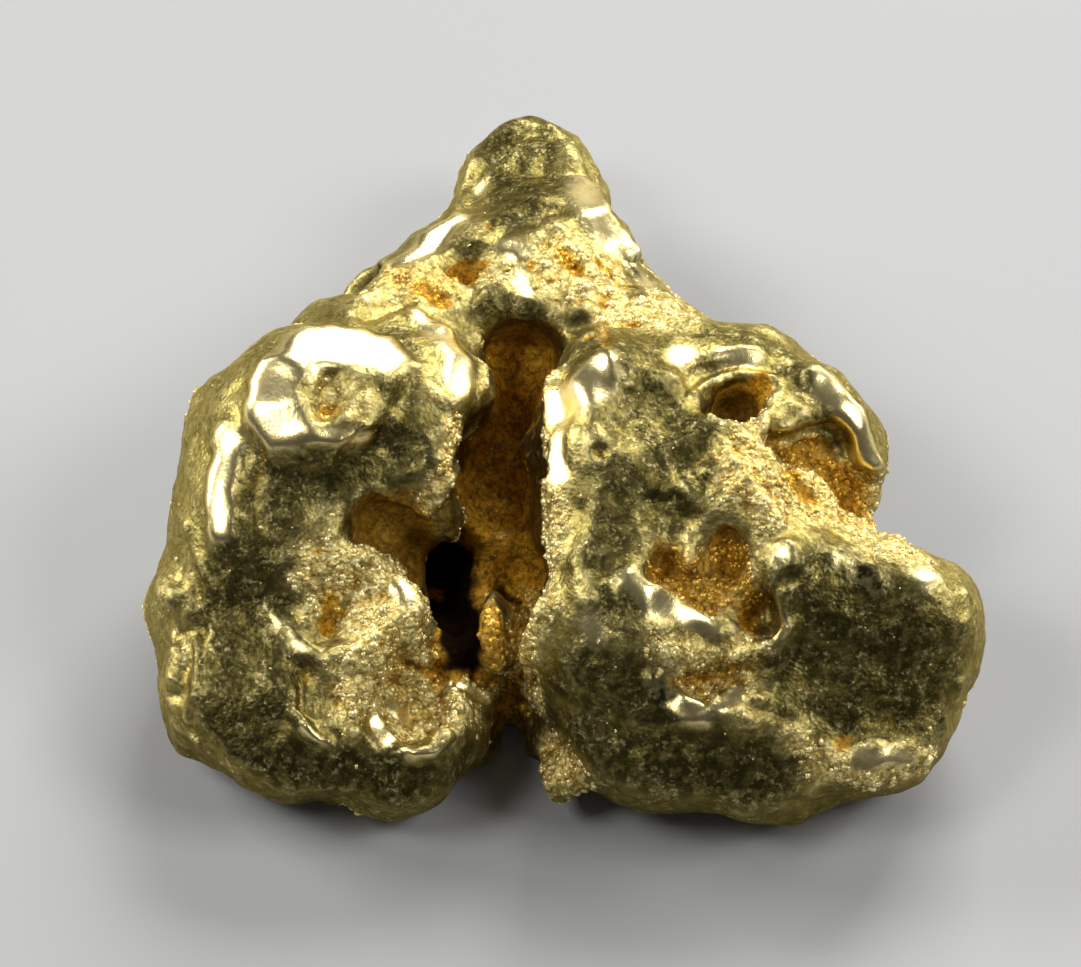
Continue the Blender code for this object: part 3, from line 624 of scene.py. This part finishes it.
def press_marks(skin_object, skin, wander, layers, flat):
    """Works in the marks that are worn flat, or all the others, each where the camera sees its pixels."""
    skin.store()
    tree = tree_of(skin_object)
    for name, mark in MARKS.items():
        if (mark.kind in FLATTENED) == flat:
            path = [seen_at(tree, name, pixel) for pixel in mark.path]
            press(skin, mark, path, wander, layers)
    skin.store()


def warped(points):
    """The points moved about, so that no outline stays round."""
    slow = np.stack([field_noise(points, SLOW_WARP_SIZE, shift) for shift in SLOW_WARP_SHIFTS], 1)
    quick = np.stack([field_noise(points, QUICK_WARP_SIZE, shift) for shift in QUICK_WARP_SHIFTS], 1)
    return points + SLOW_WARP * slow + QUICK_WARP * quick


def marked(skin_object):
    """Works every mark into the skin, and gives the layers that say what the gold is like at each point."""
    skin = Skin(skin_object)
    skin.points = skin.smoothed(skin.points, WORN_ROUNDS)
    wander = field_noise(skin.points, RAGGED_SIZE)
    layers = {name: np.zeros(len(skin.points)) for name in ("sand", "stain", "shine", "shade", "dull_and_shade")}
    press_marks(skin_object, skin, wander, layers, flat=False)
    skin.points = skin.smoothed(warped(skin.points), 1)
    press_marks(skin_object, skin, wander, layers, flat=True)
    return layers


def refined(skin_object, layers):
    """Puts the skin on its finer grid, and gives the layers at its new points."""
    lookup = tree_of(skin_object)
    old_faces = [tuple(p.vertices) for p in skin_object.data.polygons]
    fused(skin_object, SKIN_GRID)
    skin = Skin(skin_object)
    owners = [old_faces[lookup.find_nearest(Vector(p))[2]][0] for p in skin.points]
    return {name: skin.smoothed(values[owners], LAYER_ROUNDS) for name, values in layers.items()}


def back_worked(points, normals, layers):
    """What the camera does not see: sandy, brown and dull patches of its own, and how deep it is dented."""
    hidden = smoothstep(*BACK_FACING, normals @ -np.array(FORWARD))
    patchy = field_noise(points, BACK_PATCH, shift=3.7)
    sandy = smoothstep(*BACK_SAND_FROM, patchy)
    brown = BACK_STAIN * hidden * smoothstep(*BACK_STAIN_FROM, patchy)
    cloudy = field_noise(points, BACK_DULL_PATCH, shift=8.1)
    dull_and_shade = BACK_DULL * hidden * smoothstep(*BACK_DULL_FROM, cloudy)
    for name, values in (("sand", hidden * sandy), ("stain", brown), ("dull_and_shade", dull_and_shade)):
        layers[name] = np.maximum(layers[name], values)
    pits = BACK_PIT_DEPTH * dents(points, BACK_PIT, shift=7.0) * smoothstep(*BACK_PIT_FROM, patchy)
    return hidden * (BACK_DENT_DEPTH * dents(points, BACK_DENT) + pits)


def golds(skin, layers):
    """How much of each point is plain, rough and sandy gold, with the layers brought up to date."""
    dull_and_shade = layers.pop("dull_and_shade") * (1 - layers["shine"])
    sand = layers["sand"] + DEPTH_SAND * smoothstep(*SANDY_DEPTH, skin.recess(BROAD_ROUNDS))
    sand = np.clip(sand, 0, 1) * (1 - layers["shine"])
    plain = 1 - RELIEF_WORN_OFF * np.maximum(layers["shine"], layers["shade"])
    loose = np.maximum(sand, STAIN_ROUGH * np.clip(layers["stain"], 0, 1))
    rough = (LEAST_ROUGH + (1 - LEAST_ROUGH) * loose) * plain
    # Painted shade: faces that look down, and the dull places, are darkened through the shade layer.
    low = smoothstep(*LOW_FACING, skin.normals()[:, 2])
    layers["sand"] = sand
    layers["shade"] = np.maximum.reduce([layers["shade"], DULL_SHADE * dull_and_shade, LOW_SHADE * low])
    return {"plain": plain, "rough": np.maximum(rough, DULL_ROUGH * dull_and_shade), "sandy": sand}


def sculpted():
    """The skin with every mark worked in, and the layers that its metal is coloured by."""
    skin_object = blank()
    layers = refined(skin_object, marked(skin_object))

    skin = Skin(skin_object)
    skin.points -= skin.normals() * back_worked(skin.points, skin.normals(), layers)[:, None]
    normals = skin.normals()
    gold_at = golds(skin, layers)
    lift = np.zeros(len(skin.points))
    for relief in RELIEF:
        lift += relief.height * relief.shape(skin.points, relief.apart, relief.shift) * gold_at[relief.gold]
    skin.points += normals * lift[:, None]
    skin.points += (skin.smoothed(skin.points, POLISH_ROUNDS) - skin.points) * layers["shine"][:, None]
    skin.store()
    for name, values in layers.items():
        add_layer(skin.mesh, name, values)
    thinned(skin_object, SKIN_FACES)

    skin = Skin(skin_object)
    recess = sum(weight * skin.recess(rounds) for rounds, weight in RECESS_ROUNDS.items())
    add_layer(skin.mesh, "recess", recess)
    skin_object.data.shade_smooth()
    return skin_object


def rest(skin_object):
    """Wears flat whatever the marks pushed below the resting plane."""
    skin = Skin(skin_object)
    skin.points[:, 2] = np.maximum(skin.points[:, 2], 0)
    skin.store()


def grain_shape():
    """The points and faces of one grain: an icosahedron of radius one."""
    shape = bmesh.new()
    bmesh.ops.create_icosphere(shape, subdivisions=1, radius=1)
    points = np.array([v.co[:] for v in shape.verts])
    faces = np.array([[v.index for v in f.verts] for f in shape.faces])
    shape.free()
    return points, faces


def grain_chance(places, outward, area, sand, stain, shine):
    """How likely a grain is on each triangle: most on sandy gold, in clumps, and fewest at the outline."""
    patchy = field_noise(places, GRAIN_PATCH, shift=4.4)
    clumped = smoothstep(*GRAIN_CLUMP_FROM, field_noise(places, GRAIN_CLUMP, shift=2.2))
    on_sand = smoothstep(*GRAIN_SAND, sand + PATCH_SAND * patchy)
    chance = on_sand * (BETWEEN_CLUMPS + clumped) + GRAINS_EVERYWHERE
    facing = smoothstep(*OUTLINE_FACING, np.abs(outward @ -np.array(FORWARD)))
    chance *= GRAINS_AT_OUTLINE + (1 - GRAINS_AT_OUTLINE) * facing
    chance *= area * (1 - FEWER * smoothstep(*STAIN_WITH_FEW, stain)) * (1 - shine)
    chance *= 1 - smoothstep(*STAIN_WITH_NONE, stain)
    return chance / chance.sum()


def sprinkled(skin_object):
    """The loose-looking grains that stand on the sandy gold, and a few on the worn gold, each sunk partly
    into it.
    """
    mesh = skin_object.data
    mesh.calc_loop_triangles()
    corners = np.empty(len(mesh.loop_triangles) * 3, np.int32)
    mesh.loop_triangles.foreach_get("vertices", corners)
    corners = corners.reshape(-1, 3)
    triangles = Skin(skin_object).points[corners]
    cross = np.cross(triangles[:, 1] - triangles[:, 0], triangles[:, 2] - triangles[:, 0])
    area = np.linalg.norm(cross, axis=1) / 2
    outward = cross / np.maximum(2 * area, NOT_ZERO)[:, None]
    sand, stain, shine = (layer_of(mesh, name)[corners].mean(1) for name in ("sand", "stain", "shine"))
    chance = grain_chance(triangles.mean(1), outward, area, sand, stain, shine)

    random = np.random.default_rng(GRAIN_SEED)
    picked = random.choice(len(corners), GRAIN_COUNT, p=chance)
    shares = random.dirichlet((1, 1, 1), GRAIN_COUNT)
    places = (triangles[picked] * shares[:, :, None]).sum(1)
    smallest, largest = GRAIN_RADIUS
    sizes = smallest * (largest / smallest) ** random.uniform(0, 1, GRAIN_COUNT) ** MOSTLY_SMALL
    sizes *= SIZE_OFF_SAND + SIZE_FROM_SAND * np.clip(sand[picked], 0, 1)
    shape, faces = grain_shape()
    turns = [np.array(Euler(random.uniform(0, FULL_TURN, 3)).to_matrix()) for _ in range(GRAIN_COUNT)]
    stretched = shape * random.uniform(*GRAIN_STRETCH, (GRAIN_COUNT, 1, 3))
    stretched = stretched * random.uniform(*GRAIN_LUMPS, (GRAIN_COUNT, len(shape), 1))
    points = np.einsum("gij,gpj->gpi", np.array(turns), stretched) * sizes[:, None, None]
    points += (places + outward[picked] * sizes[:, None] * -GRAIN_SUNK)[:, None, :]
    points[:, :, 2] += np.maximum(0, -points[:, :, 2].min(1))[:, None]  # none goes below the resting plane
    every = (faces + len(shape) * np.arange(GRAIN_COUNT)[:, None, None]).reshape(-1, 3)
    grains = object_of("gold_grains", points.reshape(-1, 3), every)
    add_layer(grains.data, "tint", np.repeat(random.uniform(0, 1, GRAIN_COUNT), len(shape)))
    add_layer(grains.data, "stain", np.repeat(stain[picked], len(shape)))
    grains.data.shade_smooth()
    return grains


class Nodes:
    """A short way to write a material's nodes."""

    def __init__(self, name):
        self.material = bpy.data.materials.new(name)
        self.material.use_nodes = True
        self.tree = self.material.node_tree
        self.shader = self.tree.nodes["Principled BSDF"]

    @cached_property
    def place(self):
        return self.add("ShaderNodeTexCoord").outputs["Object"]

    def add(self, kind, settings=None, **inputs):
        """A new node. An input is given by its name, or by its number after an underscore."""
        node = self.tree.nodes.new(kind)
        for key, value in (settings or {}).items():
            setattr(node, key, value)
        for key, value in inputs.items():
            self.put(node.inputs[int(key[1:])] if key[0] == "_" else node.inputs[key], value)
        return node

    def put(self, socket, value):
        if isinstance(value, bpy.types.NodeSocket):
            self.tree.links.new(value, socket)
        else:
            socket.default_value = value

    def attribute(self, name):
        return self.add("ShaderNodeAttribute", {"attribute_name": name}).outputs["Fac"]

    def math(self, operation, a, b):
        settings = {"operation": operation, "use_clamp": operation != "SUBTRACT"}
        return self.add("ShaderNodeMath", settings, _0=a, _1=b).outputs[0]

    def times(self, *values):
        product = values[0]
        for value in values[1:]:
            product = self.math("MULTIPLY", product, value)
        return product

    def ramp(self, value, low, high, start=0.0, end=1.0):
        """From start, where the value is low, smoothly to end, where it is high."""
        settings = {"interpolation_type": "SMOOTHSTEP"}
        node = self.add("ShaderNodeMapRange", settings, _0=value, _1=low, _2=high, _3=start, _4=end)
        return node.outputs[0]

    def mix(self, share, a, b):
        return self.add("ShaderNodeMix", {"data_type": "RGBA"}, _0=share, _6=a, _7=b).outputs[2]

    def noise(self, size, detail=3.0, roughness=0.6):
        """Soft noise with bumps about that far apart."""
        inputs = {"Vector": self.place, "Scale": 1 / (size * METRES_PER_MM)}
        node = self.add("ShaderNodeTexNoise", None, **inputs, Detail=detail, Roughness=roughness)
        return node.outputs["Fac"]

    def cells(self, size):
        """How far it is to the middle of the nearest cell, for cells about that far apart."""
        inputs = {"Vector": self.place, "Scale": 1 / (size * METRES_PER_MM)}
        return self.add("ShaderNodeTexVoronoi", None, **inputs).outputs["Distance"]


class Gold(Nodes):
    """Worn native gold: dull olive on the worn faces, painted darker there as painted shade and paler as
    painted highlight where they shine, pale where rubbed, sandy and orange in the hollows.
    """

    def __init__(self):
        super().__init__("native_gold")
        self.sand, self.stain, self.shine = (self.attribute(name) for name in ("sand", "stain", "shine"))
        self.shade, self.recess = self.attribute("shade"), self.attribute("recess")
        self.speck = self.noise(0.05, 2.0)
        self.mottle = self.noise(0.11, 5.0, 0.75)
        self.grit = self.cells(0.10)
        self.flecks = self.times(
            self.ramp(self.noise(0.06), 0.52, 0.66),
            self.ramp(self.noise(0.25), 0.40, 0.62),
        )
        self.gap = self.ramp(self.grit, 0.42, 0.72)
        self.bright = self.ramp(self.speck, 0.40, 0.60)
        self.sunk = self.ramp(self.recess, 0.02, 0.40)
        spread = self.math("ADD", self.stain, self.times(self.speck, 0.3))
        self.browned = self.ramp(self.math("ADD", spread, self.times(self.sunk, 0.2)), 0.65, 1.20)
        self.colour()
        self.gloss()
        self.bumps()

    def worn(self):
        """The colour of the worn gold, with its dark spots, its flecks, its high places, and its polished
        places painted paler as painted highlight.
        """
        tone = self.mix(self.noise(0.5), OLIVE, LIGHT_OLIVE)
        tone = self.mix(self.times(self.ramp(self.recess, 0.0, -0.35), 0.45), tone, RUBBED)
        tone = self.mix(self.times(self.ramp(self.mottle, 0.42, 0.62), 0.75), tone, DARK_SPOT)
        tone = self.mix(self.times(self.flecks, 0.55), tone, FLECK)
        return self.mix(self.times(self.shine, 0.9), tone, POLISH_AND_HIGHLIGHT)

    def sandy(self):
        """The colour of the sandy gold, dark between its grains and where it lies deep."""
        tone = self.mix(self.bright, SAND, BRIGHT_SAND)
        tone = self.mix(self.times(self.gap, 0.7), tone, SAND_GAP)
        return self.mix(self.times(self.ramp(self.recess, 0.05, 0.35), 0.85), tone, SUNKEN_SAND)

    def rusty(self):
        return self.mix(self.times(self.gap, 0.8), self.mix(self.bright, RUST, BRIGHT_RUST), RUST_GAP)

    def brown(self):
        gritty = self.ramp(self.noise(0.09, 5.0, 0.85), 0.40, 0.60)
        # Painted shade: the brown darkens too where the shade layer is.
        return self.mix(self.times(self.shade, 0.7), self.mix(gritty, UMBER, DARK_UMBER), SHADED_UMBER)

    def colour(self):
        tone = self.mix(self.times(self.sand, 0.85), self.worn(), self.sandy())
        stained = self.math("ADD", self.stain, self.times(self.sand, 0.5))
        orange = self.times(self.sunk, self.ramp(stained, 0.1, 0.8))
        orange = self.math("MAXIMUM", orange, self.ramp(self.stain, 0.40, 0.95, 0.0, 0.8))
        tone = self.mix(orange, tone, self.rusty())
        patchy = self.ramp(self.noise(0.13, 4.0), 0.42, 0.62, 1.0, 0.50)
        # Painted shade: the colour turns dark where the faces mirror the dark, look down or are dull.
        tone = self.mix(self.times(self.shade, patchy), tone, SHADED)
        tone = self.mix(self.times(self.flecks, self.shade, 0.35), tone, FLECK)
        tone = self.mix(self.browned, tone, self.brown())
        # Painted shade: a stain above 1.2 turns the colour black.
        tone = self.mix(self.ramp(self.stain, 1.2, 1.9), tone, BLACK)
        self.put(self.shader.inputs["Base Color"], tone)

    def gloss(self):
        unpolished = self.times(self.flecks, self.math("SUBTRACT", 1.0, self.shine))
        loose = self.math("MAXIMUM", self.times(self.sand, self.ramp(self.speck, 0.35, 0.55)), unpolished)
        bare = self.ramp(self.browned, 0.2, 1.0, 1.0, 0.25)
        self.put(self.shader.inputs["Metallic"], self.times(bare, self.ramp(loose, 0.0, 1.0, 1.0, 0.75)))
        clean = self.ramp(self.browned, 0.2, 1.0, 0.5, 0.1)
        not_black = self.ramp(self.stain, 1.2, 1.9, 1.0, 0.0)
        self.put(self.shader.inputs["Specular IOR Level"], self.times(clean, not_black))
        self.put(self.shader.inputs["Specular Tint"], GLINT)
        uneven = self.math("ADD", self.times(self.mottle, 0.6), self.times(self.sand, 0.35))
        rough = self.math("ADD", self.ramp(uneven, 0.2, 0.8, 0.40, 0.55), self.times(self.browned, 0.35))
        self.put(self.shader.inputs["Roughness"], self.math("SUBTRACT", rough, self.times(self.shine, 0.16)))

    def bumps(self):
        fine = self.math("ADD", self.times(self.noise(0.035), 0.40), self.times(self.cells(0.06), 0.30))
        grains = self.times(self.math("SUBTRACT", 1.0, self.grit), self.sand, 0.45)
        height = self.math("ADD", fine, grains)
        bump = self.add("ShaderNodeBump", None, Height=height, Distance=BUMP_HEIGHT * METRES_PER_MM)
        rough = self.ramp(self.math("MAXIMUM", self.sand, self.browned), 0.0, 1.0, 0.45, 1.0)
        self.put(bump.inputs["Strength"], self.times(rough, self.ramp(self.shine, 0.0, 1.0, 1.0, 0.2)))
        self.put(self.shader.inputs["Normal"], bump.outputs[0])


def grain_gold():
    """The same gold in grains, each of its own tint."""
    n = Nodes("native_gold_grains")
    tint, stain = n.attribute("tint"), n.attribute("stain")
    rusty = n.mix(tint, RUST_GRAIN, BRIGHT_RUST_GRAIN)
    tone = n.mix(n.ramp(stain, 0.2, 0.9), n.mix(tint, GRAIN, BRIGHT_GRAIN), rusty)
    n.put(n.shader.inputs["Base Color"], tone)
    n.put(n.shader.inputs["Metallic"], n.ramp(tint, 0.0, 1.0, 0.9, 0.5))
    n.put(n.shader.inputs["Roughness"], n.ramp(tint, 0.0, 1.0, 0.50, 0.32))
    return n.material


def camera():
    data = bpy.data.cameras.new("camera")
    data.sensor_width = SENSOR_WIDTH
    data.lens = SENSOR_WIDTH * CAMERA_DISTANCE / (FRAME_WIDTH * MM_PER_PIXEL)
    data.clip_start = NEAR_CLIP
    found = bpy.data.objects.new("camera", data)
    bpy.context.scene.collection.objects.link(found)
    found.location = CAMERA_PLACE * METRES_PER_MM
    found.rotation_euler = FORWARD.to_track_quat("-Z", "Y").to_euler()
    bpy.context.scene.camera = found


def soft_box(name, box):
    """An area light that faces the nugget."""
    light = bpy.data.lights.new(name, "AREA")
    light.shape = "RECTANGLE"
    light.size, light.size_y = box.width * METRES_PER_MM, box.height * METRES_PER_MM
    light.energy = box.watts
    found = bpy.data.objects.new(name, light)
    bpy.context.scene.collection.objects.link(found)
    found.location = box_direction(box) * BOX_DISTANCE * METRES_PER_MM
    found.rotation_euler = box_direction(box).to_track_quat("Z", "Y").to_euler()


def studio():
    n = Nodes("pale_floor")
    n.put(n.shader.inputs["Base Color"], n.mix(n.noise(FLOOR_CLOUD), FLOOR, LIGHT_FLOOR))
    n.put(n.shader.inputs["Roughness"], FLOOR_ROUGHNESS)
    corners = [(-1, -1, 0), (1, -1, 0), (1, 1, 0), (-1, 1, 0)]
    floor = object_of("floor", [Vector(corner) * FLOOR_REACH for corner in corners], [(0, 1, 2, 3)])
    floor.data.materials.append(n.material)
    for name, box in BOXES.items():
        soft_box(name, box)
    world = bpy.data.worlds.new("world")
    bpy.context.scene.world = world
    world.use_nodes = True
    world.node_tree.nodes["Background"].inputs["Color"].default_value = SURROUNDINGS
    bpy.context.scene.view_settings.view_transform = "Standard"


camera()
nugget = sculpted()
nugget.data.materials.append(Gold().material)
grains = sprinkled(nugget)
rest(nugget)
grains.data.materials.append(grain_gold())
for piece in (nugget, grains):
    piece.data.transform(Matrix.Scale(METRES_PER_MM, 4))
    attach(piece, "root")
    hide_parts("nugget")
studio()
